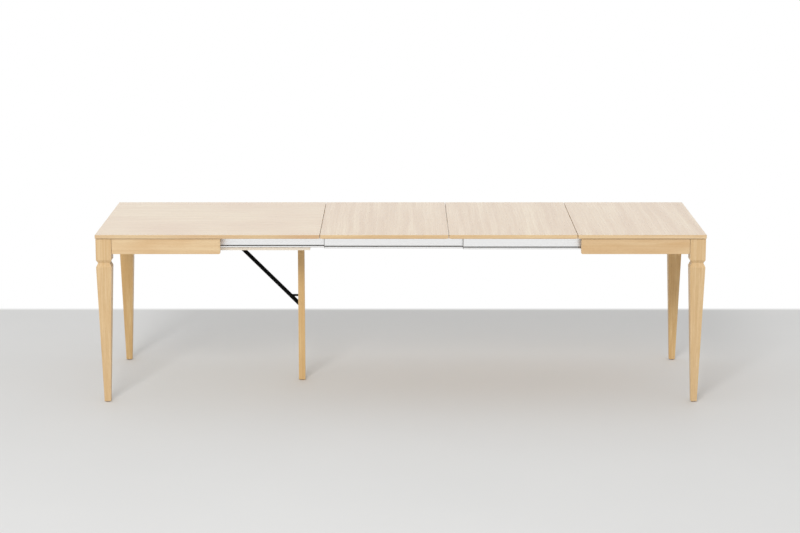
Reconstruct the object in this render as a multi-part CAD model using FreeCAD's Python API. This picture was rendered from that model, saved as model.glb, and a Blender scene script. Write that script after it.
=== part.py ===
import FreeCAD, Part
import os

# Extending dining table, drawn out to its full length with its three loose leaves in place.
# All sizes are in millimetres. X runs along the table, Y from front to back and Z up.
# While building, X is measured from the left end; save() puts the origin at the middle of the floor.

# The top
table_height = 770.0
table_depth = 900.0
main_length = 1000.0
leaf_length = 572.0
leaf_count = 3
seam_gap = 2.0
top_thickness = 19.0
edge_rounding = 2.0
corner_rounding = 4.0
rebate_height = 2.5
rebate_depth = 10.0

# Legs, square in section, with a waist under the block at the top
leg_overhang = 3.0
leg_block = 69.0
leg_waist = 54.0
leg_foot = 28.0
block_height = 96.0
waist_chamfer = 12.0
waist_height = 3.0
waist_flare = 17.0
glide_height = 3.0
glide_radius = 11.0

# Aprons, held in the legs by tenons
apron_height = 68.0
apron_thickness = 22.0
apron_recess = 2.0
apron_share = 0.557
apron_gap = 2.0
apron_corner = 6.0
tenon_length = 24.0
tenon_thickness = 9.0
tenon_shoulder = 12.0
tenon_play = 0.2

# Narrow upright shadow groove on show, where an apron meets a leg
groove_width = 2.0
groove_depth = 5.0

# Telescoping rails, three to a side, each running in a slot of the one inside it
rail_height = 59.0
rail_thickness = 20.0
rail_wall = 2.0
rail_rounding = 3.0
rail_gap = 1.0
rail_leg_gap = 2.0
rail_end_play = 7.0
middle_overlap = 65.0
slide_clearance = 0.3
slot_height = 10.0
slot_mouth = 5.0
slot_lip = 3.0
slot_width = 11.0
slot_depth = 6.0
cap_thickness = 2.0

# Blocks that hold the sliding rails off the right aprons
spacer_length = 80.0
spacer_inset = 20.0
spacer_rise = 18.0

# Tray under the fixed rails, where the leaves are stored
tray_thickness = 12.0
tray_setback = 47.0

# Centre leg, which folds up under the tray
centre_leg_width = 30.0
centre_leg_inset = 55.0
hinge_drop = 19.0
hinge_pin_radius = 3.0
hinge_play = 0.3
running_play = 0.05
bracket_plate = 3.0
bracket_half_length = 27.0
bracket_half_width = 42.0
bracket_stop_drop = 34.0

# Stay at 45 degrees from the centre leg up to a track under the tray
stay_width = 18.0
stay_thickness = 6.0
stay_spacer = 5.0
stay_pivot_height = 348.0
stay_pin_radius = 3.0
roller_thickness = 3.0
track_plate = 3.0
track_cheek = 2.0
track_cheek_height = 27.0
track_side_play = 1.0
track_flange = 14.0
track_overrun = 24.0
pivot_room = 4.0

# Catch that hooks the stay to the centre leg
catch_rise = 51.0
catch_height = 10.0
catch_thickness = 3.0
catch_eye = 6.0
catch_bite = 2.0
catch_beak = 6.0
stud_radius = 3.0
stud_offset = 6.0

# Fixings
screw_radius = 2.0
screw_head_radius = 4.0
screw_head_height = 2.0
screw_bite = 12.0
screw_play = 0.1
angle_size = 25.0
angle_plate = 2.0
pin_head_radius = 5.0
pin_head_height = 1.5

# Places that follow from the sizes above
apron_reach = main_length * apron_share
total_length = main_length + leaf_count * (leaf_length + seam_gap)
half_depth = table_depth / 2
top_underside = table_height - top_thickness
sliding_top = top_underside - slide_clearance
leg_outer = half_depth - leg_overhang
leg_inner = leg_outer - leg_block
leg_end = leg_overhang + leg_block
apron_outer = leg_outer - apron_recess
apron_inner = apron_outer - apron_thickness
end_apron_outer = leg_overhang + apron_recess
end_apron_inner = end_apron_outer + apron_thickness
apron_bottom = top_underside - apron_height
rail_bottom = top_underside - rail_height
rail_pitch = rail_thickness + rail_gap
sliding_outer = leg_inner - rail_leg_gap
middle_outer = sliding_outer - rail_pitch
fixed_outer = middle_outer - rail_pitch
fixed_inner = fixed_outer - rail_thickness
rail_length = 2 * apron_reach + apron_gap - 2 * end_apron_inner - rail_end_play
middle_start = end_apron_inner + rail_length - middle_overlap
sliding_start = total_length - end_apron_inner - rail_length
tray_bottom = rail_bottom - tray_thickness
tray_end = main_length - tray_setback
centre_leg_x = tray_end - centre_leg_inset
centre_leg_half = centre_leg_width / 2
hinge_z = tray_bottom - hinge_drop
stay_run = hinge_z - stay_pivot_height
stay_front = centre_leg_half + stay_spacer
stay_back = stay_front + stay_thickness
stay_top_x = centre_leg_x - stay_run
stay_folded_x = stay_top_x - stay_run * 2 ** 0.5
catch_front = stay_back + hinge_play
catch_back = catch_front + catch_thickness
catch_x = centre_leg_x - catch_rise
catch_z = stay_pivot_height + catch_rise
stud_x = centre_leg_x - stud_offset
stud_z = catch_z - catch_height / 2 + catch_bite - hinge_play - stud_radius


def box(x0, x1, y0, y1, z0, z1):
    return Part.makeBox(x1 - x0, y1 - y0, z1 - z0, FreeCAD.Vector(x0, y0, z0))


def rod(start, direction, radius, length):
    return Part.makeCylinder(radius, length, FreeCAD.Vector(*start), FreeCAD.Vector(*direction))


def rod_y(x, z, radius, y0, y1):
    return rod((x, y0, z), (0, 1, 0), radius, y1 - y0)


def back_of(shape):
    # The back half of the table mirrors the front half.
    return shape.mirror(FreeCAD.Vector(0, 0, 0), FreeCAD.Vector(0, 1, 0))


def right_of(shape):
    # The right frame mirrors the left one.
    return shape.mirror(FreeCAD.Vector(total_length / 2, 0, 0), FreeCAD.Vector(1, 0, 0))


def both_sides(shapes):
    return shapes + [back_of(shape) for shape in shapes]


def save(shape, name):
    moved = shape.copy()
    moved.translate(FreeCAD.Vector(-total_length / 2, 0, 0))
    moved.exportStep("parts/" + name + ".step")


def save_group(shapes, name):
    save(Part.makeCompound(shapes), name)


def board(x0, x1):
    # One board of the top, its edges rounded. A rebate round its underside leaves a shadow gap.
    rebate_top = top_underside + rebate_height
    solid = box(x0, x1, -half_depth, half_depth, rebate_top, table_height)
    upright = [edge for edge in solid.Edges if edge.BoundBox.ZLength > top_thickness / 2]
    solid = solid.makeFillet(corner_rounding, upright)
    upper = [edge for edge in solid.Edges if edge.BoundBox.ZMin > table_height - 0.01]
    solid = solid.makeFillet(edge_rounding, upper)
    foot_depth = half_depth - rebate_depth
    foot = box(x0 + rebate_depth, x1 - rebate_depth, -foot_depth, foot_depth, top_underside, rebate_top)
    return solid.fuse(foot).removeSplitter()


def square_wire(x, y, z, width):
    half = width / 2
    corners = [(x - half, y - half), (x + half, y - half), (x + half, y + half), (x - half, y + half)]
    return [FreeCAD.Vector(across, along, z) for across, along in corners]


def tapered(x, y, z0, width0, z1, width1):
    # A square length whose width changes evenly from z0 to z1.
    low = square_wire(x, y, z0, width0)
    high = square_wire(x, y, z1, width1)
    rings = [low, high]
    for side in range(4):
        after = (side + 1) % 4
        rings.append([low[side], low[after], high[after], high[side]])
    faces = [Part.Face(Part.makePolygon(ring + ring[:1])) for ring in rings]
    solid = Part.Solid(Part.Shell(faces))
    if solid.Volume < 0:
        solid.reverse()
    return solid


def leg_blank(top):
    # The front left leg, from the block at the top down through the waist to the foot.
    x = leg_overhang + leg_block / 2
    y = -leg_outer + leg_block / 2
    block_bottom = top_underside - block_height
    waist_top = block_bottom - waist_chamfer
    waist_bottom = waist_top - waist_height
    flare_bottom = waist_bottom - waist_flare
    shape = tapered(x, y, block_bottom, leg_block, top, leg_block)
    lengths = [
        (waist_top, leg_waist, block_bottom, leg_block),
        (waist_bottom, leg_waist, waist_top, leg_waist),
        (flare_bottom, leg_block, waist_bottom, leg_waist),
        (glide_height, leg_foot, flare_bottom, leg_block),
    ]
    for low, low_width, high, high_width in lengths:
        shape = shape.fuse(tapered(x, y, low, low_width, high, high_width))
    return shape.removeSplitter()


def tenon_band(play):
    # Inset, thickness and heights shared by a tenon and its mortise.
    side = (apron_thickness - tenon_thickness) / 2 - play
    low = apron_bottom + tenon_shoulder - play
    high = top_underside - tenon_shoulder + play
    return side, low, high


def long_tenon(play):
    # Tenon of the front apron, pointing left into the leg.
    side, low, high = tenon_band(play)
    return box(leg_end - tenon_length - play, leg_end, -apron_outer + side, -apron_inner - side, low, high)


def end_tenon(play):
    # Tenon of the end apron, pointing forward into the leg.
    side, low, high = tenon_band(play)
    inner = -leg_inner + tenon_length + play
    return box(end_apron_outer + side, end_apron_inner - side, 2 * -leg_inner - inner, -leg_inner, low, high)


def leg(top):
    shape = leg_blank(top)
    shape = shape.cut(long_tenon(tenon_play))
    return shape.cut(end_tenon(tenon_play))


def leg_glide():
    x = leg_overhang + leg_block / 2
    y = -leg_outer + leg_block / 2
    return rod((x, y, 0), (0, 0, 1), glide_radius, glide_height)


def long_apron(top):
    # The front apron of the left frame. Its free lower corner is rounded.
    shape = box(leg_end, apron_reach, -apron_outer, -apron_inner, apron_bottom, top)
    corner = [
        edge for edge in shape.Edges
        if edge.BoundBox.XMin > apron_reach - 0.01 and edge.BoundBox.ZMax < apron_bottom + 0.01
    ]
    shape = shape.makeFillet(apron_corner, corner)
    groove_back = -apron_outer + groove_depth
    shape = shape.cut(box(leg_end, leg_end + groove_width, -apron_outer, groove_back, apron_bottom, top))
    return shape.fuse(long_tenon(0))


def end_apron(top):
    shape = box(end_apron_outer, end_apron_inner, -leg_inner, leg_inner, apron_bottom, top)
    groove_back = end_apron_outer + groove_depth
    groove_end = -leg_inner + groove_width
    upright = box(end_apron_outer, groove_back, -leg_inner, groove_end, apron_bottom, top)
    shape = shape.cut(upright).cut(back_of(upright))
    shape = shape.fuse(end_tenon(0))
    return shape.fuse(back_of(end_tenon(0)))


def rail_outline(height, tongue):
    # Section of a rail, as distance in from its outer face and height above its bottom.
    low_mouth = slot_height - slot_mouth / 2
    high_mouth = slot_height + slot_mouth / 2
    low_slot = slot_height - slot_width / 2
    high_slot = slot_height + slot_width / 2
    slot_back = slot_lip + slot_depth
    points = [(0, 0), (rail_thickness, 0)]
    if tongue:
        neck = rail_thickness + rail_gap + slot_lip + slide_clearance
        head = neck + slot_depth - 2 * slide_clearance
        points += [(rail_thickness, low_mouth + slide_clearance), (neck, low_mouth + slide_clearance)]
        points += [(neck, low_slot + slide_clearance), (head, low_slot + slide_clearance)]
        points += [(head, high_slot - slide_clearance), (neck, high_slot - slide_clearance)]
        points += [(neck, high_mouth - slide_clearance), (rail_thickness, high_mouth - slide_clearance)]
    points += [(rail_thickness, height), (0, height), (0, high_mouth), (slot_lip, high_mouth)]
    points += [(slot_lip, high_slot), (slot_back, high_slot), (slot_back, low_slot)]
    points += [(slot_lip, low_slot), (slot_lip, low_mouth), (0, low_mouth)]
    return points


def extruded(points, outer, x0, x1):
    # The lower corner of the outer face is rounded.
    section = [FreeCAD.Vector(x0, -outer + inward, rail_bottom + rise) for inward, rise in points]
    face = Part.Face(Part.makePolygon(section + section[:1]))
    shape = face.extrude(FreeCAD.Vector(x1 - x0, 0, 0))
    corner = [
        edge for edge in shape.Edges
        if edge.BoundBox.YMax < -outer + 0.01 and edge.BoundBox.ZMax < rail_bottom + 0.01
    ]
    return shape.makeFillet(rail_rounding, corner)


def chamber(outer, x0, x1, inward, rise, top):
    inner = -outer + rail_thickness - rail_wall
    return box(x0, x1, -outer + inward, inner, rail_bottom + rise, rail_bottom + top)


def rail(outer, x0, x1, height, tongue):
    # A hollow front rail with a slot in its outer face and, on moving rails, a tongue on the inner one.
    shape = extruded(rail_outline(height, tongue), outer, x0, x1)
    high_slot = slot_height + slot_width / 2
    shape = shape.cut(chamber(outer, x0, x1, rail_wall, high_slot + rail_wall, height - rail_wall))
    behind = slot_lip + slot_depth + rail_wall
    return shape.cut(chamber(outer, x0, x1, behind, slot_height - slot_width / 2, high_slot))


def rail_cap(outer, x0, height):
    return extruded(rail_outline(height, False), outer, x0, x0 + cap_thickness)


def screw(start, direction, bite):
    # A pan-head screw whose head bears on the face at start.
    out = [-part for part in direction]
    head = rod(start, out, screw_head_radius, screw_head_height)
    return head.fuse(rod(start, direction, screw_radius, bite))


def screw_hole(start, direction, bite):
    return rod(start, direction, screw_radius + screw_play, bite + screw_play)


def drilled(shape, holes):
    for start, direction, bite in holes:
        shape = shape.cut(screw_hole(start, direction, bite))
    return shape


def mirrored_place(place):
    start, direction, bite = place
    return (start[0], -start[1], start[2]), (direction[0], -direction[1], direction[2]), bite


def with_back(places):
    return places + [mirrored_place(place) for place in places]


def top_angles():
    # Places of the steel angles under the main top: along the apron, then along the fixed rail.
    angles = [(main_length * share, -apron_inner) for share in (0.15, 0.45)]
    return angles + [(main_length * share, -fixed_inner) for share in (0.25, 0.8)]


def top_angle(x, face):
    low = top_underside - angle_size
    upright = box(x - angle_size / 2, x + angle_size / 2, face, face + angle_plate, low, top_underside)
    flat = box(
        x - angle_size / 2, x + angle_size / 2, face, face + angle_size,
        top_underside - angle_plate, top_underside,
    )
    shape = upright.fuse(flat).removeSplitter()
    return drilled(shape, top_angle_screws(x, face))


def top_angle_screws(x, face):
    middle = angle_size * 0.6
    upward = ((x, face + middle, top_underside - angle_plate), (0, 0, 1), screw_bite)
    sideways = ((x, face + angle_plate, top_underside - middle), (0, -1, 0), screw_bite)
    return [upward, sideways]


def all_top_screws():
    places = []
    for x, face in top_angles():
        places += top_angle_screws(x, face)
    return with_back(places)


def rail_angle():
    # Angle that ties the left end of a fixed rail to the end apron.
    low, high = rail_angle_span()
    along = box(
        end_apron_inner, end_apron_inner + angle_size, -fixed_inner, -fixed_inner + angle_plate, low, high
    )
    across = box(
        end_apron_inner, end_apron_inner + angle_plate, -fixed_inner, -fixed_inner + angle_size, low, high
    )
    return drilled(along.fuse(across).removeSplitter(), rail_angle_screws())


def rail_angle_span():
    middle = rail_bottom + rail_height * 0.6
    return middle - angle_size / 2, middle + angle_size / 2


def rail_angle_screws():
    z = sum(rail_angle_span()) / 2
    middle = angle_size * 0.6
    into_rail = ((end_apron_inner + middle, -fixed_inner + angle_plate, z), (0, -1, 0), screw_bite)
    into_apron = ((end_apron_inner + angle_plate, -fixed_inner + middle, z), (-1, 0, 0), screw_bite)
    return [into_rail, into_apron]


def tray_screw_places():
    y = -(fixed_inner + rail_wall + (rail_thickness - slot_lip - slot_depth - rail_wall) / 2)
    spots = [end_apron_inner + (tray_end - end_apron_inner) * share for share in (0.06, 0.35, 0.64, 0.94)]
    return with_back([((x, y, tray_bottom), (0, 0, 1), tray_thickness + 7.0) for x in spots])


def bracket_screw_places():
    x = bracket_half_length * 0.6
    y = bracket_half_width * 0.75
    bite = bracket_plate + tray_thickness * 0.7
    start_z = tray_bottom - bracket_plate
    ends = [centre_leg_x - x, centre_leg_x + x]
    return with_back([((end, -y, start_z), (0, 0, 1), bite) for end in ends])


def track_ends():
    return stay_folded_x - track_overrun, stay_top_x + track_overrun


def track_back():
    # Back face of the rear cheek, clear of the roller and its pin head.
    return catch_back + pin_head_height + track_side_play + track_cheek


def track_screw_places():
    start, end = track_ends()
    y = track_back() + track_flange / 2
    spots = [start + (end - start) * share for share in (0.04, 0.5, 0.96)]
    bite = track_plate + tray_thickness * 0.7
    return [((x, y, tray_bottom - track_plate), (0, 0, 1), bite) for x in spots]


def tray():
    shape = box(end_apron_inner, tray_end, -fixed_outer, fixed_outer, tray_bottom, rail_bottom)
    shape = drilled(shape, tray_screw_places())
    shape = drilled(shape, bracket_screw_places())
    return drilled(shape, track_screw_places())


def main_top():
    upward = [place for place in all_top_screws() if place[1][2] == 1]
    return drilled(board(0, main_length), upward)


def leaf(number):
    start = main_length + seam_gap + (number - 1) * (leaf_length + seam_gap)
    return board(start, start + leaf_length)


def left_front_apron():
    inward = [place for place in all_top_screws() if place[0][1] < -apron_inner + angle_size]
    return drilled(long_apron(top_underside), inward)


def left_end_apron():
    return drilled(end_apron(top_underside), with_back(rail_angle_screws()))


def fixed_rail():
    end = end_apron_inner + rail_length - cap_thickness
    shape = rail(fixed_outer, end_apron_inner, end, rail_height, False)
    sideways = [place for place in all_top_screws() if place[0][1] > -apron_inner + angle_size]
    shape = drilled(shape, [place for place in sideways if place[1][1] == -1])
    shape = drilled(shape, rail_angle_screws()[:1])
    return drilled(shape, tray_screw_places()[:4])


def middle_rail():
    start = middle_start + cap_thickness
    end = middle_start + rail_length - cap_thickness
    return rail(middle_outer, start, end, rail_height - slide_clearance, True)


def spacer_starts():
    first = total_length - apron_reach + spacer_inset
    last = total_length - leg_end - spacer_inset / 2 - spacer_length
    return [first, last]


def spacer_block(start):
    low = rail_bottom + spacer_rise
    shape = box(start, start + spacer_length, -apron_inner, -sliding_outer, low, sliding_top)
    return drilled_for_spacers(shape)


def spacer_screw_spots():
    # Two flush screws to a block, put in from the inside of the sliding rail.
    spots = []
    for start in spacer_starts():
        spots += [start + spacer_length * 0.25, start + spacer_length * 0.75]
    return spots


def spacer_screw(x, play):
    z = rail_bottom + rail_height * 0.6
    inner = -sliding_outer + rail_thickness
    head = rod((x, inner, z), (0, -1, 0), screw_head_radius + play, rail_wall)
    shank = rod((x, inner, z), (0, -1, 0), screw_radius + play, rail_thickness + screw_bite * 2 + play)
    return head.fuse(shank)


def drilled_for_spacers(shape):
    for x in spacer_screw_spots():
        shape = shape.cut(spacer_screw(x, screw_play))
    return shape


def sliding_rail():
    start = sliding_start + cap_thickness
    end = sliding_start + rail_length
    shape = rail(sliding_outer, start, end, rail_height - slide_clearance, True)
    return drilled_for_spacers(shape)


def hinge_bracket():
    # Plate under the tray with two ears for the pin and a stop behind the leg.
    plate_low = tray_bottom - bracket_plate
    inner = centre_leg_half + hinge_play
    outer = inner + bracket_plate
    left = centre_leg_x - centre_leg_half
    stop = centre_leg_x + inner
    shape = box(
        centre_leg_x - bracket_half_length, centre_leg_x + bracket_half_length,
        -bracket_half_width, bracket_half_width, plate_low, tray_bottom,
    )
    low = hinge_z - centre_leg_half
    shape = shape.fuse(box(left, stop + bracket_plate, -outer, -inner, low, plate_low))
    shape = shape.fuse(box(left, stop + bracket_plate, inner, outer, low, plate_low))
    stop_low = tray_bottom - bracket_stop_drop
    shape = shape.fuse(box(stop, stop + bracket_plate, -inner, inner, stop_low, plate_low))
    shape = shape.removeSplitter()
    shape = shape.cut(rod_y(centre_leg_x, hinge_z, hinge_pin_radius + running_play, -outer - 1, outer + 1))
    return drilled(shape, bracket_screw_places())


def hinge_pin():
    outer = centre_leg_half + hinge_play + bracket_plate
    shape = rod_y(centre_leg_x, hinge_z, hinge_pin_radius, -outer, outer)
    shape = shape.fuse(rod_y(centre_leg_x, hinge_z, pin_head_radius, -outer - pin_head_height, -outer))
    return shape.fuse(rod_y(centre_leg_x, hinge_z, pin_head_radius, outer, outer + pin_head_height))


def centre_leg():
    half = centre_leg_half
    shape = box(centre_leg_x - half, centre_leg_x + half, -half, half, glide_height, hinge_z)
    shape = shape.fuse(rod_y(centre_leg_x, hinge_z, half, -half, half)).removeSplitter()
    shape = shape.cut(rod_y(centre_leg_x, hinge_z, hinge_pin_radius + running_play, -half - 1, half + 1))
    shape = shape.cut(rod_y(centre_leg_x, stay_pivot_height, stay_pin_radius + running_play, 0, half + 1))
    return shape.cut(rod_y(stud_x, stud_z, stud_radius + running_play, 0, half + 1))


def centre_glide():
    return rod((centre_leg_x, 0, 0), (0, 0, 1), glide_radius, glide_height)


def stay_bar():
    # A flat bar with rounded ends, drawn level from its lower pivot and then turned up to 45 degrees.
    length = stay_run * 2 ** 0.5
    x = centre_leg_x
    z = stay_pivot_height
    half = stay_width / 2
    shape = box(x - length, x, stay_front, stay_back, z - half, z + half)
    for end in (x - length, x):
        shape = shape.fuse(rod_y(end, z, half, stay_front, stay_back))
    shape = shape.removeSplitter()
    bores = [x, x - length, x - catch_rise * 2 ** 0.5]
    for bore in bores:
        shape = shape.cut(rod_y(bore, z, stay_pin_radius + running_play, stay_front - 1, stay_back + 1))
    shape.rotate(FreeCAD.Vector(x, 0, z), FreeCAD.Vector(0, 1, 0), 45)
    return shape


def stay_pivot():
    shape = rod_y(centre_leg_x, stay_pivot_height, stay_pin_radius, 0, stay_back)
    head_end = stay_back + pin_head_height
    return shape.fuse(rod_y(centre_leg_x, stay_pivot_height, pin_head_radius, stay_back, head_end))


def stay_bush():
    x = centre_leg_x
    z = stay_pivot_height
    shape = rod_y(x, z, stay_width / 2, centre_leg_half, stay_front)
    return shape.cut(rod_y(x, z, stay_pin_radius + running_play, centre_leg_half - 1, stay_front + 1))


def roller():
    radius = hinge_drop - track_plate - hinge_play
    bore = stay_pin_radius + running_play
    shape = rod_y(stay_top_x, hinge_z, radius, stay_back, stay_back + roller_thickness)
    return shape.cut(rod_y(stay_top_x, hinge_z, bore, stay_back - 1, catch_back + 1))


def headed_pin(x, z, radius, start, end):
    shape = rod_y(x, z, radius, start, end)
    return shape.fuse(rod_y(x, z, pin_head_radius, end, end + pin_head_height))


def stay_track():
    # Channel under the tray, open below, that the roller bears up against.
    start, end = track_ends()
    low = tray_bottom - track_plate
    foot = low - track_cheek_height
    front = stay_front - track_side_play
    back = track_back()
    # The front cheek ends short of the spot where the lower pivot lies when the leg is folded.
    front_end = stay_top_x - stay_width / 2 - pivot_room
    shape = box(start, end, front - track_cheek, back + track_flange, low, tray_bottom)
    shape = shape.fuse(box(start, front_end, front - track_cheek, front, foot, low))
    shape = shape.fuse(box(start, end, back - track_cheek, back, foot, low))
    return drilled(shape.removeSplitter(), track_screw_places())


def catch():
    # Flat hook from the stay to a stud on the back of the leg.
    half = catch_height / 2
    end = stud_x + stud_radius + catch_beak
    shape = box(catch_x, end, catch_front, catch_back, catch_z - half, catch_z + half)
    shape = shape.fuse(rod_y(catch_x, catch_z, catch_eye, catch_front, catch_back))
    bore = stay_pin_radius + running_play
    shape = shape.cut(rod_y(catch_x, catch_z, bore, catch_front - 1, catch_back + 1))
    return shape.cut(rod_y(stud_x, stud_z, stud_radius + hinge_play, catch_front - 1, catch_back + 1))


def save_left_frame():
    save(main_top(), "main_top")
    save(leg(top_underside), "front_left_leg")
    save(back_of(leg(top_underside)), "back_left_leg")
    save(left_front_apron(), "left_front_apron")
    save(back_of(left_front_apron()), "left_back_apron")
    save(left_end_apron(), "left_end_apron")
    save(fixed_rail(), "front_fixed_rail")
    save(back_of(fixed_rail()), "back_fixed_rail")
    cap = rail_cap(fixed_outer, end_apron_inner + rail_length - cap_thickness, rail_height)
    save_group(both_sides([cap]), "fixed_rail_caps")
    save_group(both_sides([leg_glide()]), "left_glides")
    save_group(both_sides([top_angle(x, face) for x, face in top_angles()]), "top_angles")
    save_group([screw(*place) for place in all_top_screws()], "top_angle_screws")
    save_group(both_sides([rail_angle()]), "rail_angles")
    save_group([screw(*place) for place in with_back(rail_angle_screws())], "rail_angle_screws")
    save(tray(), "leaf_store_tray")
    save_group([screw(*place) for place in tray_screw_places()], "tray_screws")


def save_end_frame():
    save(right_of(leg(sliding_top)), "front_right_leg")
    save(right_of(back_of(leg(sliding_top))), "back_right_leg")
    save(right_of(long_apron(sliding_top)), "right_front_apron")
    save(right_of(back_of(long_apron(sliding_top))), "right_back_apron")
    save(right_of(end_apron(sliding_top)), "right_end_apron")
    save(sliding_rail(), "front_sliding_rail")
    save(back_of(sliding_rail()), "back_sliding_rail")
    cap = rail_cap(sliding_outer, sliding_start, rail_height - slide_clearance)
    save_group(both_sides([cap]), "sliding_rail_caps")
    save_group(both_sides([spacer_block(start) for start in spacer_starts()]), "rail_spacers")
    save_group(both_sides([spacer_screw(x, 0) for x in spacer_screw_spots()]), "rail_spacer_screws")
    save_group(both_sides([right_of(leg_glide())]), "right_glides")


def save_middle_rails():
    save(middle_rail(), "front_middle_rail")
    save(back_of(middle_rail()), "back_middle_rail")
    starts = [middle_start, middle_start + rail_length - cap_thickness]
    caps = [rail_cap(middle_outer, start, rail_height - slide_clearance) for start in starts]
    save_group(both_sides(caps), "middle_rail_caps")


def save_centre_leg():
    save(hinge_bracket(), "leg_hinge_bracket")
    save_group([screw(*place) for place in bracket_screw_places()], "hinge_bracket_screws")
    save(hinge_pin(), "leg_hinge_pin")
    save(stay_track(), "stay_track")
    save_group([screw(*place) for place in track_screw_places()], "stay_track_screws")
    save(centre_leg(), "centre_leg")
    save(centre_glide(), "centre_leg_glide")
    save(stay_pivot(), "stay_pivot_pin")
    save(stay_bush(), "stay_spacer_bush")
    save(headed_pin(stud_x, stud_z, stud_radius, 0, catch_back + hinge_play), "catch_stud")
    save(stay_bar(), "stay")
    save(roller(), "stay_roller")
    save(headed_pin(stay_top_x, hinge_z, stay_pin_radius, stay_front, catch_back), "stay_roller_pin")
    save(headed_pin(catch_x, catch_z, stay_pin_radius, stay_front, catch_back), "catch_pin")
    save(catch(), "stay_catch")


os.makedirs("parts", exist_ok=True)
save_left_frame()
save_end_frame()
save_middle_rails()
save_centre_leg()
for number in range(1, leaf_count + 1):
    save(leaf(number), "leaf_" + str(number))
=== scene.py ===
import bpy
import bmesh
import math
from mathutils import Matrix, Vector


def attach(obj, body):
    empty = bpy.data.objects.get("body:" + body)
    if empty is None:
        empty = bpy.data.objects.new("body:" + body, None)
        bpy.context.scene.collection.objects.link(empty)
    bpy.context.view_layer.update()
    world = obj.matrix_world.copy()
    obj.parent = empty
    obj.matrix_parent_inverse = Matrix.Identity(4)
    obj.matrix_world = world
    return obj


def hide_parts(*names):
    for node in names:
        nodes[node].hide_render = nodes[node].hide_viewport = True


# Dresses the extending dining table: finishes, softened edges, screws, studio and camera.
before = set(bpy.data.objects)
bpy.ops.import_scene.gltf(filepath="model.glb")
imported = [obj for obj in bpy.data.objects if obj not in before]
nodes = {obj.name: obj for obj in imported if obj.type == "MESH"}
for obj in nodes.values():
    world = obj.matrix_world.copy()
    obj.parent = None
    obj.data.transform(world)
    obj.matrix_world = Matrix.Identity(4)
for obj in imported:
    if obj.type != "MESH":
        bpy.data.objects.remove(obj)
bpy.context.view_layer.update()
mm = 0.001
print("frame loaded,", len(nodes), "nodes")


def linear(hexColour):
    # from the screen's sRGB curve to linear light
    channels = [int(hexColour[i:i + 2], 16) / 255 for i in (1, 3, 5)]
    return [c / 12.92 if c <= 0.04045 else ((c + 0.055) / 1.055) ** 2.4 for c in channels] + [1.0]


def addNode(tree, kind, values=None, links=None, **settings):
    node = tree.nodes.new("ShaderNode" + kind)
    for name, value in settings.items():
        setattr(node, name, value)
    for socket, value in (values or {}).items():
        node.inputs[socket].default_value = value
    for socket, source in (links or {}).items():
        tree.links.new(source, node.inputs[socket])
    return node


def startMaterial(name):
    material = bpy.data.materials.new(name)
    material.use_nodes = True
    tree = material.node_tree
    return material, tree, tree.nodes["Principled BSDF"]


def joinSurface(tree, surface, colour, roughness, normal):
    for socket, source in (("Base Color", colour), ("Roughness", roughness), ("Normal", normal)):
        tree.links.new(source, surface.inputs[socket])


def cellsPerMetre(*sizes):
    return [1 / (size * mm) for size in sizes]


def between(low, high):
    # middle and half width, for a Compare node that is 1 from low to high in mm
    return {1: (low + high) / 2 * mm, 2: (high - low) / 2 * mm}


def meshData(mesh, name):
    data = bpy.data.meshes.new(name)
    mesh.to_mesh(data)
    mesh.free()
    return data


def addObject(name, data):
    made = bpy.data.objects.new(name, data)
    bpy.context.scene.collection.objects.link(made)
    return made


def dress(material, *names):
    for name in names:
        nodes[name].material_slots[0].material = material


# weld gap in mm; corners under the sharp angle, in degrees, belong to a curve and stay as they are
edgeLook = {"weldGap": 0.01, "bevelSteps": 3, "sharpAngle": 35}


def softenEdges(width, *names):
    for name in names:
        weld = nodes[name].modifiers.new("closeSeams", "WELD")
        weld.merge_threshold = edgeLook["weldGap"] * mm
        bevel = nodes[name].modifiers.new("softenEdges", "BEVEL")
        bevel.width = width * mm
        bevel.segments = edgeLook["bevelSteps"]
        bevel.limit_method = "ANGLE"
        bevel.angle_limit = math.radians(edgeLook["sharpAngle"])
        bevel.harden_normals = True


# The figure that all the oak shares: the detail of the noise behind each mark, and between which values
# of that noise the mark fades in.
oakFigure = {
    "detail": {"cloud": 1, "streak": 3, "fibre": 3, "pore": 0},
    "fadeIn": {"cloud": (0.35, 0.65), "streak": (0.36, 0.66), "ring": (0.25, 1), "fibre": (0.4, 0.7),
               "pore": (0.6, 0.68)},
    "ringStretch": 0.03, "ringWaver": 9, "ringDetail": 2, "ringDetailScale": 0.5,
    "driftDetail": 1, "sheenFadeIn": (0.3, 0.7), "fibreHeight": 0.4, "relief": 0.5,
    "edgeTurn": 0.7,  # a face that points this far along x or y is an edge of its board
}
wavePeriod = 0.314  # units after which the wave node repeats at a scale of 1
noiseMean = (0.5, 0.5, 0.5)


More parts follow.
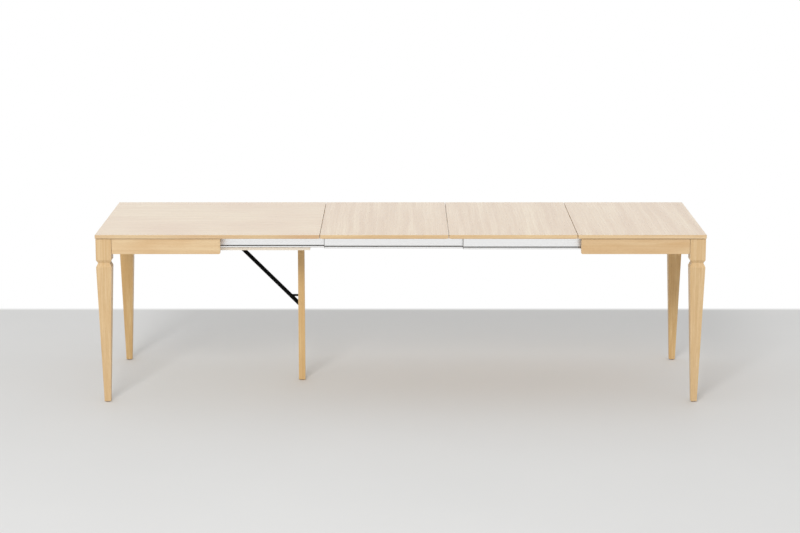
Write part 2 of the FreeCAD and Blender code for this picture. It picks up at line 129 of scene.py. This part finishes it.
# Oak, satin lacquered. Pale straw wood, clouded, with long soft streaks, fine fibres and short open pores;
# the thin lacquer gives a broad pale sheen when seen along the board.
def lacqueredOak(name, grain, look, banded=False):
    material, tree, surface = startMaterial(name)
    place = addNode(tree, "TexCoord").outputs
    x, y, z = addNode(tree, "SeparateXYZ", links={0: place["Object"]}).outputs
    order = {"x": (x, y, z), "y": (y, x, z), "z": (z, x, y)}[grain]
    along = addNode(tree, "CombineXYZ", links=dict(enumerate(order))).outputs[0]
    tints = []
    if banded:  # a glued edge band has its grain along the edge
        facing = addNode(tree, "SeparateXYZ", links={0: place["Normal"]}).outputs
        for side, order in ((0, (y, z, x)), (1, (x, z, y))):
            turned = addNode(tree, "Math", links={0: facing[side]}, operation="ABSOLUTE").outputs[0]
            onEdge = addNode(tree, "Math", {1: oakFigure["edgeTurn"]}, {0: turned},
                             operation="GREATER_THAN").outputs[0]
            band = addNode(tree, "CombineXYZ", links=dict(enumerate(order))).outputs[0]
            along = addNode(tree, "Mix", links={0: onEdge, 4: along, 5: band},
                            data_type="VECTOR").outputs[1]
            tints.append((onEdge, look["bandTint"]))
        # the shadow gap under the boards is darkened by a tint: painted shade
        inShadowGap = addNode(tree, "Math", between(*look["gapHeight"]), {0: z}, operation="COMPARE").outputs[0]
        tints.append((inShadowGap, look["gapShadeTint"]))

    # slow sideways drift, so that no line is ruled straight
    slow = addNode(tree, "Mapping", {"Scale": cellsPerMetre(*look["driftSize"])}, {0: along}).outputs[0]
    drift = addNode(tree, "TexNoise", {"Scale": 1, "Detail": oakFigure["driftDetail"]},
                    {0: slow}).outputs[1]
    centred = addNode(tree, "VectorMath", {1: noiseMean}, {0: drift}, operation="SUBTRACT").outputs[0]
    reach = look["driftReach"] * mm
    grainLine = addNode(tree, "VectorMath", {1: (0, reach, reach)}, {0: centred, 2: along},
                        operation="MULTIPLY_ADD").outputs[0]

    noise = {}
    for part, detail in oakFigure["detail"].items():
        length, width = look[part + "Size"]
        cells = cellsPerMetre(length, width, width)
        size = addNode(tree, "Mapping", {"Scale": cells}, {0: grainLine}).outputs[0]
        noise[part] = addNode(tree, "TexNoise", {"Scale": 1, "Detail": detail}, {0: size}).outputs[0]
    # growth rings cut lengthwise
    flat = addNode(tree, "Mapping", {"Scale": (oakFigure["ringStretch"], 1, 1)}, {0: grainLine}).outputs[0]
    rings = {"Scale": wavePeriod / (look["ringSize"] * mm), "Distortion": oakFigure["ringWaver"],
             "Detail": oakFigure["ringDetail"], "Detail Scale": oakFigure["ringDetailScale"]}
    noise["ring"] = addNode(tree, "TexWave", rings, {0: flat}, bands_direction="Y",
                            wave_profile="SAW").outputs[1]

    # each mark darkens the wood on top of the one before
    masks = {}
    colour = None
    for part, (low, high) in oakFigure["fadeIn"].items():
        limits = {"From Min": low, "From Max": high, "To Max": look[part + "Depth"]}
        masks[part] = addNode(tree, "MapRange", limits, {0: noise[part]}).outputs[0]
        tones = {6: linear(look["light"]), 7: linear(look[part + "Colour"])}
        darker = addNode(tree, "Mix", tones, {0: masks[part]}, data_type="RGBA")
        if colour:
            tree.links.new(colour, darker.inputs[6])
        colour = darker.outputs[2]
    for mask, tint in tints:
        colour = addNode(tree, "Mix", {7: linear(tint)}, {0: mask, 6: colour}, data_type="RGBA",
                         blend_type="MULTIPLY").outputs[2]

    low, high = oakFigure["sheenFadeIn"]
    smooth, rough = look["roughness"]
    sheen = {"From Min": low, "From Max": high, "To Min": smooth, "To Max": rough}
    uneven = addNode(tree, "MapRange", sheen, {0: noise["fibre"]}).outputs[0]
    sunken = addNode(tree, "Math", {1: oakFigure["fibreHeight"]}, {0: noise["fibre"], 2: masks["pore"]},
                     operation="MULTIPLY_ADD").outputs[0]
    relief = addNode(tree, "Bump", {"Strength": oakFigure["relief"], "Distance": look["poreDeep"] * mm},
                     {"Height": sunken}, invert=True).outputs[0]
    joinSurface(tree, surface, colour, uneven, relief)
    surface.inputs["IOR"].default_value = look["ior"]
    surface.inputs["Coat Weight"].default_value = look["lacquer"]
    surface.inputs["Coat Roughness"].default_value = look["lacquerRoughness"]
    return material


# sizes in mm, length then width; real pores are about 0.3 by 5, drawn wider and longer so that they show
boardLook = {
    "light": "#EED5AA", "cloudColour": "#DDB78E", "streakColour": "#D2AC7B", "ringColour": "#CEAA76",
    "fibreColour": "#CAA473", "poreColour": "#9A744A",
    "cloudSize": (500, 240), "streakSize": (1100, 30), "ringSize": 16, "fibreSize": (260, 2.2),
    "poreSize": (16, 0.9), "poreDeep": 0.05, "driftSize": (420, 160, 160), "driftReach": 24,
    "cloudDepth": 0.45, "streakDepth": 1.0, "ringDepth": 0.4, "fibreDepth": 0.45, "poreDepth": 0.15,
    "ior": 1.5, "roughness": (0.26, 0.34), "lacquer": 0.75, "lacquerRoughness": 0.2,
    # the gap tint is painted shade, darkening the shadow gap under the boards
    "bandTint": "#FAFAF8", "gapShadeTint": "#B09A84", "gapHeight": (751.1, 753.6),
}
mainTopLook = dict(
    boardLook, light="#EDD5AB", cloudColour="#DBB58C", cloudSize=(330, 460),
    cloudDepth=0.85, streakDepth=0.5, ringDepth=0.3, fibreDepth=0.28, bandTint="#F1EEEB",
)
legLook = dict(
    boardLook, light="#E4CAA1", cloudColour="#D2AE7E", streakColour="#D0AF80", ringColour="#C8A36F",
    fibreColour="#C59E6B", cloudSize=(300, 50), streakSize=(1200, 8), ringSize=6,
    driftSize=(600, 90, 90), driftReach=4, cloudDepth=0.6, streakDepth=0.8, ringDepth=0.35,
    fibreDepth=0.45, roughness=(0.4, 0.5), lacquer=0,
)
# the back legs and the centre leg stand in the shade under the table, so they take a warmer, more saturated
# copy of the leg oak: painted shade
shadedInnerLegLook = dict(
    legLook, light="#E4C794", cloudColour="#D1A870", streakColour="#CFA970", ringColour="#C79C62",
    fibreColour="#C4975E",
)
apronLook = dict(
    boardLook, light="#E2C8A0", cloudColour="#D2AE80", streakColour="#D3B287", ringColour="#C9A473",
    fibreColour="#C49D6B", cloudSize=(260, 60), streakSize=(700, 14), ringSize=9, driftReach=6,
    cloudDepth=0.9, streakDepth=0.7, ringDepth=0.25, fibreDepth=0.25, roughness=(0.4, 0.5), lacquer=0,
)
trayLook = dict(
    boardLook, light="#FDF8EE", cloudColour="#F6EDDF", streakColour="#F4EBDC", ringColour="#EFE4D1",
    fibreColour="#EADDC8", poreColour="#CBB595", streakDepth=0.4, ringDepth=0.1, lacquer=0,
    bandTint="#FEFDFB",
)

mainTopOak = lacqueredOak("oakVeneerSatinLacquerMainTop", "x", mainTopLook, banded=True)
leafOak = lacqueredOak("oakVeneerSatinLacquerLeaf", "y", boardLook, banded=True)
legOak = lacqueredOak("oakSolidSatinLacquerLeg", "z", legLook)
# a shaded copy of the leg oak for the legs under the table: painted shade
shadedInnerLegOak = lacqueredOak("oakSolidSatinLacquerShadedInnerLeg", "z", shadedInnerLegLook)
longApronOak = lacqueredOak("oakVeneerSatinLacquerLongApron", "x", apronLook)
endApronOak = lacqueredOak("oakVeneerSatinLacquerEndApron", "y", apronLook)
# the tray is a board faced with paper that is printed with a very pale oak, and has no lacquer
trayOak = lacqueredOak("oakPaperFacedTray", "x", trayLook, banded=True)

frontLegs = ["front_left_leg", "front_right_leg"]
innerLegs = ["back_left_leg", "back_right_leg", "centre_leg"]
longAprons = [side + "_apron" for side in ("left_front", "left_back", "right_front", "right_back")]
endAprons = ["left_end_apron", "right_end_apron"]
dress(mainTopOak, "main_top")
dress(leafOak, "leaf_1", "leaf_2", "leaf_3")
dress(legOak, *frontLegs)
dress(shadedInnerLegOak, *innerLegs)
dress(longApronOak, "rail_spacers", *longAprons)
dress(endApronOak, *endAprons)
dress(trayOak, "leaf_store_tray")
woodEdge = {"leg": 0.9, "apron": 0.7, "tray": 1.0}  # widths in mm
softenEdges(woodEdge["leg"], *frontLegs, *innerLegs)
softenEdges(woodEdge["apron"], *longAprons, *endAprons)
softenEdges(woodEdge["tray"], "leaf_store_tray")
print("wood dressed")


# Aluminium, extruded and satin anodised. Bright, nearly white metal with a soft blurred sheen,
# crossed by faint lengthwise die lines.
railLook = {
    # the slot colour is painted shade inside the rails' slots
    "bright": "#F8F8F8", "line": "#F4F4F4", "slotShadeColour": "#8C8C8B", "roughness": (0.25, 0.33),
    "dieLineSize": (900, 4, 4),  # real die lines are about 0.2 mm wide, drawn coarser so that they show
    "dieLineDetail": 3, "dieLineDeep": 0.003, "relief": 0.4,
    "innerFace": 314, "railPitch": 21, "railGap": 1, "slotDepth": (0.6, 10.5), "slotHeight": (696, 708),
}
satinAluminium, tree, surface = startMaterial("aluminiumExtrudedSatinAnodised")
place = addNode(tree, "TexCoord").outputs["Object"]
size = addNode(tree, "Mapping", {"Scale": cellsPerMetre(*railLook["dieLineSize"])}, {0: place}).outputs[0]
dieLine = addNode(tree, "TexNoise", {"Scale": 1, "Detail": railLook["dieLineDetail"]}, {0: size}).outputs[0]
tones = {6: linear(railLook["bright"]), 7: linear(railLook["line"])}
tone = addNode(tree, "Mix", tones, {0: dieLine}, data_type="RGBA").outputs[2]
smooth, rough = railLook["roughness"]
uneven = addNode(tree, "MapRange", {"To Min": smooth, "To Max": rough}, {0: dieLine}).outputs[0]
relief = addNode(tree, "Bump", {"Strength": railLook["relief"], "Distance": railLook["dieLineDeep"] * mm},
                 {"Height": dieLine}).outputs[0]
# painted shade darkens the inside of the slots: found by depth behind a rail's outer face, and by height
x, y, z = addNode(tree, "SeparateXYZ", links={0: place}).outputs
out = addNode(tree, "Math", links={0: y}, operation="ABSOLUTE").outputs[0]
past = addNode(tree, "Math", {1: railLook["innerFace"] * mm}, {0: out}, operation="SUBTRACT").outputs[0]
across = addNode(tree, "Math", {1: railLook["railPitch"] * mm}, {0: past},
                 operation="FLOORED_MODULO").outputs[0]
outerFace = railLook["railPitch"] - railLook["railGap"]
mouth, bottom = [outerFace - depth for depth in railLook["slotDepth"]]
inDepth = addNode(tree, "Math", between(bottom, mouth), {0: across}, operation="COMPARE").outputs[0]
inHeight = addNode(tree, "Math", between(*railLook["slotHeight"]), {0: z}, operation="COMPARE").outputs[0]
inSlot = addNode(tree, "Math", links={0: inDepth, 1: inHeight}, operation="MULTIPLY").outputs[0]
slotShaded = addNode(tree, "Mix", {7: linear(railLook["slotShadeColour"])}, {0: inSlot, 6: tone},
                  data_type="RGBA").outputs[2]
joinSurface(tree, surface, slotShaded, uneven, relief)
surface.inputs["Metallic"].default_value = 1
stages = ("fixed", "middle", "sliding")
rails = [side + "_" + stage + "_rail" for side in ("front", "back") for stage in stages]
dress(satinAluminium, *rails)


# The small parts differ in colour, grit and shine, so one recipe serves them all.
gritLook = {"detail": 2, "relief": 0.5}


def grainyFinish(name, look):
    material, tree, surface = startMaterial(name)
    place = addNode(tree, "TexCoord").outputs["Object"]
    noise = {}
    for part in ("grit", "cloud"):
        values = {"Scale": 1 / (look[part + "Size"] * mm), "Detail": gritLook["detail"]}
        noise[part] = addNode(tree, "TexNoise", values, {0: place}).outputs[0]
    tones = {6: linear(look["light"]), 7: linear(look["dark"])}
    tone = addNode(tree, "Mix", tones, {0: noise["cloud"]}, data_type="RGBA").outputs[2]
    smooth, rough = look["roughness"]
    uneven = addNode(tree, "MapRange", {"To Min": smooth, "To Max": rough}, {0: noise["cloud"]}).outputs[0]
    relief = addNode(tree, "Bump", {"Strength": gritLook["relief"], "Distance": look["gritDeep"] * mm},
                     {"Height": noise["grit"]}).outputs[0]
    joinSurface(tree, surface, tone, uneven, relief)
    surface.inputs["Metallic"].default_value = look["metallic"]
    if not look["metallic"]:
        surface.inputs["IOR"].default_value = look["ior"]
    return material


# Steel, black powder coated: dull black with the fine dimples of a baked coat, about 1.5 mm apart.
blackCoat = grainyFinish("steelBlackPowderCoat", {
    "light": "#070707", "dark": "#030303", "gritSize": 1.5, "cloudSize": 30, "gritDeep": 0.02,
    "roughness": (0.55, 0.68), "metallic": 0, "ior": 1.2,
})
# Steel, zinc plated: cool grey metal, cloudy from the bath, with a fine pressed grain.
zincPlate = grainyFinish("steelZincPlated", {
    "light": "#CFD2D4", "dark": "#B4B8BB", "gritSize": 0.6, "cloudSize": 8, "gritDeep": 0.01,
    "roughness": (0.28, 0.42), "metallic": 1,
})
# ABS, moulded: mid grey caps with a fine spark-eroded texture, so no sharp highlights.
greyCap = grainyFinish("absMouldedGrey", {
    "light": "#9C9C9B", "dark": "#919190", "gritSize": 0.8, "cloudSize": 12, "gritDeep": 0.02,
    "roughness": (0.45, 0.6), "metallic": 0, "ior": 1.53,
})
# Polypropylene, moulded: brown glides, waxy and a little cloudy.
brownGlide = grainyFinish("polypropyleneMouldedBrown", {
    "light": "#7A5A3C", "dark": "#684B31", "gritSize": 0.8, "cloudSize": 10, "gritDeep": 0.02,
    "roughness": (0.4, 0.55), "metallic": 0, "ior": 1.49,
})
# Nylon, moulded: black bush and roller with a smooth, slightly greasy shine.
blackNylon = grainyFinish("nylonMouldedBlack", {
    "light": "#191919", "dark": "#101010", "gritSize": 1.0, "cloudSize": 6, "gritDeep": 0.01,
    "roughness": (0.35, 0.45), "metallic": 0, "ior": 1.53,
})
dress(blackCoat, "stay", "stay_catch", "catch_pin", "leg_hinge_bracket", "stay_track")
dress(zincPlate, "top_angles", "rail_angles", "leg_hinge_pin", "stay_pivot_pin", "stay_roller_pin",
      "catch_stud")
dress(greyCap, "fixed_rail_caps", "middle_rail_caps", "sliding_rail_caps")
dress(brownGlide, "left_glides", "right_glides", "centre_leg_glide")
dress(blackNylon, "stay_spacer_bush", "stay_roller")
metalEdge = {"rail": 0.4, "flatSteel": 0.5}  # widths in mm
softenEdges(metalEdge["rail"], *rails)
softenEdges(metalEdge["flatSteel"], "stay", "stay_catch", "top_angles", "rail_angles")
print("metal and plastic dressed")


# Screws with a cross recess in the head and a ridged thread, in place of the plain ones. Sizes in mm.
screwLook = {
    "headRadius": 4.0, "headHeight": 2.0, "panDome": 0.9, "flushDome": 0.15,
    "domeCurve": ((0.55, 0.2), (0.85, 0.55)),  # shares of the head's radius and of the dome's height
    "coreRadius": 1.45, "threadRadius": 1.95, "threadPitch": 1.8, "plainNeck": 0.5, "tipPitches": 1.5,
    "recessLength": 4.6, "recessWidth": 1.1, "recessDepth": 1.3,
    "recessTaper": (0.35, 0.7),  # shares of the length and of the width that are left at the bottom
    "recessRise": 0.5,  # the cutter stands out of the head by this much
    "turns": 28, "headOnly": 3.0,  # only the head reaches further than this from the axis
}


def screwSpots(name):
    # every loose shell of the node is one screw; its wide end is the head
    mesh = bmesh.new()
    mesh.from_mesh(nodes[name].data)
    bmesh.ops.remove_doubles(mesh, verts=mesh.verts, dist=edgeLook["weldGap"] * mm)
    waiting = set(mesh.verts)
    spots = []
    for start in mesh.verts:
        if start not in waiting:
            continue
        waiting.discard(start)
        shell = [start]
        for vertex in shell:
            for edge in vertex.link_edges:
                other = edge.other_vert(vertex)
                if other in waiting:
                    waiting.discard(other)
                    shell.append(other)
        low = Vector([min(v.co[i] for v in shell) for i in range(3)])
        high = Vector([max(v.co[i] for v in shell) for i in range(3)])
        span = high - low
        axis = max(range(3), key=lambda i: span[i])
        middle = (low + high) / 2
        wide = []
        for vertex in shell:
            off = vertex.co - middle
            off[axis] = 0
            if off.length > screwLook["headOnly"] * mm:
                wide.append(vertex.co[axis])
        headUp = sum(wide) / len(wide) > middle[axis]
        end = middle.copy()
        end[axis] = high[axis] if headUp else low[axis]
        outward = Vector((0, 0, 0))
        outward[axis] = 1 if headUp else -1
        spots.append((end, outward, span[axis]))
    mesh.free()
    return spots


def turnProfile(name, profile, turns):
    mesh = bmesh.new()
    rings = []
    angles = [2 * math.pi * step / turns for step in range(turns)]
    for radius, height in profile:
        if radius == 0:
            rings.append([mesh.verts.new((0, 0, height * mm))])
            continue
        rings.append([mesh.verts.new((radius * mm * math.cos(a), radius * mm * math.sin(a), height * mm))
                      for a in angles])
    for lower, upper in zip(rings, rings[1:]):
        for step in range(turns):
            following = (step + 1) % turns
            corners = [lower[step % len(lower)], lower[following % len(lower)],
                       upper[following % len(upper)], upper[step % len(upper)]]
            mesh.faces.new(list(dict.fromkeys(corners)))
    bmesh.ops.recalc_face_normals(mesh, faces=mesh.faces)
    return meshData(mesh, name)


def oneScrew(look, dome, length):
    # head outward along +Z with its outer face at z 0
    head = look["headRadius"]
    core = look["coreRadius"]
    pitch = look["threadPitch"]
    seat = -look["headHeight"]
    profile = [(0, 0)]
    profile += [(head * wide, -dome * deep) for wide, deep in look["domeCurve"]]
    profile += [(head, -dome), (head, seat), (core, seat)]
    depth = seat - look["plainNeck"]
    while depth > -length + look["tipPitches"] * pitch:
        profile += [(core, depth), (look["threadRadius"], depth - pitch / 2)]
        depth -= pitch
    profile += [(core, depth), (0, -length)]
    blank = addObject("screwBlank", turnProfile("screwBlank", profile, look["turns"]))
    cutters = []
    for turn in (0, 90):  # two tapered bars make the cross recess
        mesh = bmesh.new()
        bmesh.ops.create_cube(mesh, size=1)
        for vertex in mesh.verts:
            deep = vertex.co.z < 0
            longShare, wideShare = look["recessTaper"] if deep else (1, 1)
            vertex.co.x *= look["recessLength"] * longShare
            vertex.co.y *= look["recessWidth"] * wideShare
            vertex.co.z = -look["recessDepth"] if deep else look["recessRise"]
        mesh.transform(Matrix.Rotation(math.radians(turn), 4, "Z") @ Matrix.Scale(mm, 4))
        cutter = addObject("recessBar", meshData(mesh, "recessBar"))
        cutters.append(cutter)
        carve = blank.modifiers.new("recess", "BOOLEAN")
        carve.object = cutter
        carve.operation = "DIFFERENCE"
        carve.solver = "EXACT"
    bpy.context.view_layer.update()
    cut = bpy.data.meshes.new_from_object(blank.evaluated_get(bpy.context.evaluated_depsgraph_get()))
    for scrap in (blank, *cutters):
        bpy.data.objects.remove(scrap)
    return cut


def crossScrews(pieceName, node, body, dome):
    whole = bmesh.new()
    for end, outward, length in screwSpots(node):
        one = oneScrew(screwLook, dome, length / mm)
        turn = Vector((0, 0, 1)).rotation_difference(outward).to_matrix().to_4x4()
        one.transform(Matrix.Translation(end) @ turn)
        whole.from_mesh(one)
        bpy.data.meshes.remove(one)
    data = meshData(whole, pieceName)
    data.polygons.foreach_set("use_smooth", [True] * len(data.polygons))
    data.set_sharp_from_angle(angle=math.radians(edgeLook["sharpAngle"]))
    data.materials.append(zincPlate)
    piece = addObject(pieceName, data)
    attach(piece, body)
    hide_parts(node)


panDome = screwLook["panDome"]
crossScrews("topAngleScrews", "top_angle_screws", "left_frame", panDome)
crossScrews("railAngleScrews", "rail_angle_screws", "left_frame", panDome)
crossScrews("trayScrews", "tray_screws", "left_frame", panDome)
crossScrews("hingeBracketScrews", "hinge_bracket_screws", "left_frame", panDome)
crossScrews("stayTrackScrews", "stay_track_screws", "left_frame", panDome)
crossScrews("railSpacerScrews", "rail_spacer_screws", "end_frame", screwLook["flushDome"])
print("screws made")


# Studio: a pale floor that goes over to white round the table, a white surround, one soft lamp.
studio = {
    "floorHalf": 20.0, "floorCells": 8, "floorColour": "#E2E2E1", "floorDark": "#DDDDDC",
    "floorRoughness": 0.75, "cloudSize": 900, "cloudDetail": 3, "white": "#FFFFFF", "skyLight": 0.7,
    # the floor turns white between these distances from the middle, in metres
    "back": (1.54, 1.62), "front": (2.6, 3.2), "side": (3.0, 3.6),
}


def seenStraight(tree):
    # 1 where the white is looked at, straight or in a reflection, and 0 where it would light the table
    ray = addNode(tree, "LightPath").outputs
    seen = ray["Is Camera Ray"]
    for kind in ("Is Glossy Ray", "Is Transmission Ray"):
        seen = addNode(tree, "Math", links={0: seen, 1: ray[kind]}, operation="MAXIMUM").outputs[0]
    return seen


floorMesh = bmesh.new()
bmesh.ops.create_grid(floorMesh, x_segments=studio["floorCells"], y_segments=studio["floorCells"],
                      size=studio["floorHalf"])
floor = addObject("studioFloor", meshData(floorMesh, "studioFloor"))

# Concrete, painted matt: even pale grey with very faint clouds.
paintedFloor, tree, surface = startMaterial("concretePaintedMattPale")
place = addNode(tree, "TexCoord").outputs["Object"]
cloudValues = {"Scale": 1 / (studio["cloudSize"] * mm), "Detail": studio["cloudDetail"]}
cloud = addNode(tree, "TexNoise", cloudValues, {0: place}).outputs[0]
tones = {6: linear(studio["floorColour"]), 7: linear(studio["floorDark"])}
tone = addNode(tree, "Mix", tones, {0: cloud}, data_type="RGBA").outputs[2]
tree.links.new(tone, surface.inputs["Base Color"])
surface.inputs["Roughness"].default_value = studio["floorRoughness"]
x, y, z = addNode(tree, "SeparateXYZ", links={0: place}).outputs
aside = addNode(tree, "Math", links={0: x}, operation="ABSOLUTE").outputs[0]
ahead = addNode(tree, "Math", {1: -1}, {0: y}, operation="MULTIPLY").outputs[0]
far = None
for way, distance in (("back", y), ("front", ahead), ("side", aside)):
    start, end = studio[way]
    fade = addNode(tree, "MapRange", {"From Min": start, "From Max": end}, {0: distance},
                   interpolation_type="SMOOTHSTEP").outputs[0]
    if far:
        fade = addNode(tree, "Math", links={0: far, 1: fade}, operation="MAXIMUM").outputs[0]
    far = fade
whitened = addNode(tree, "Math", links={0: far, 1: seenStraight(tree)}, operation="MULTIPLY").outputs[0]
plain = addNode(tree, "Emission", {"Color": linear(studio["white"]), "Strength": 1}).outputs[0]
both = addNode(tree, "MixShader", links={0: whitened, 1: surface.outputs[0], 2: plain}).outputs[0]
tree.links.new(both, tree.nodes["Material Output"].inputs["Surface"])
floor.data.materials.append(paintedFloor)

world = bpy.data.worlds.new("whiteSurround")
bpy.context.scene.world = world
world.use_nodes = True
tree = world.node_tree
sky = tree.nodes["Background"]
sky.inputs["Color"].default_value = linear(studio["white"])
sky.inputs["Strength"].default_value = studio["skyLight"]
backdrop = addNode(tree, "Background", {"Color": linear(studio["white"]), "Strength": 1}).outputs[0]
both = addNode(tree, "MixShader", links={0: seenStraight(tree), 1: sky.outputs[0], 2: backdrop}).outputs[0]
tree.links.new(both, tree.nodes["World Output"].inputs["Surface"])

# one large soft lamp in front, high up and to the left
softLamp = {"at": (-2.6, -11.8, 7.1), "aim": (0, 0, 0.5), "size": 3.6, "power": 810}
lampData = bpy.data.lights.new("softLamp", "AREA")
lampData.shape = "SQUARE"
lampData.size = softLamp["size"]
lampData.energy = softLamp["power"]
lamp = addObject("softLamp", lampData)
lamp.location = softLamp["at"]
lamp.rotation_mode = "QUATERNION"
lamp.rotation_quaternion = (Vector(softLamp["aim"]) - lamp.location).to_track_quat("-Z", "Y")
lamp.visible_glossy = False  # no glare of the lamp on the lacquer
print("studio lit")


# Long lens from the front and above, for a frame of 800 by 533.
view = {"at": (-0.0033, -10.2835, 2.5338), "tiltDown": 10.97, "lens": 101.17, "sensor": 36}
cameraData = bpy.data.cameras.new("frontCamera")
cameraData.lens = view["lens"]
cameraData.sensor_width = view["sensor"]
camera = addObject("frontCamera", cameraData)
camera.location = view["at"]
camera.rotation_euler = (math.radians(90 - view["tiltDown"]), 0, 0)
bpy.context.scene.camera = camera
bpy.context.scene.view_settings.view_transform = "Standard"
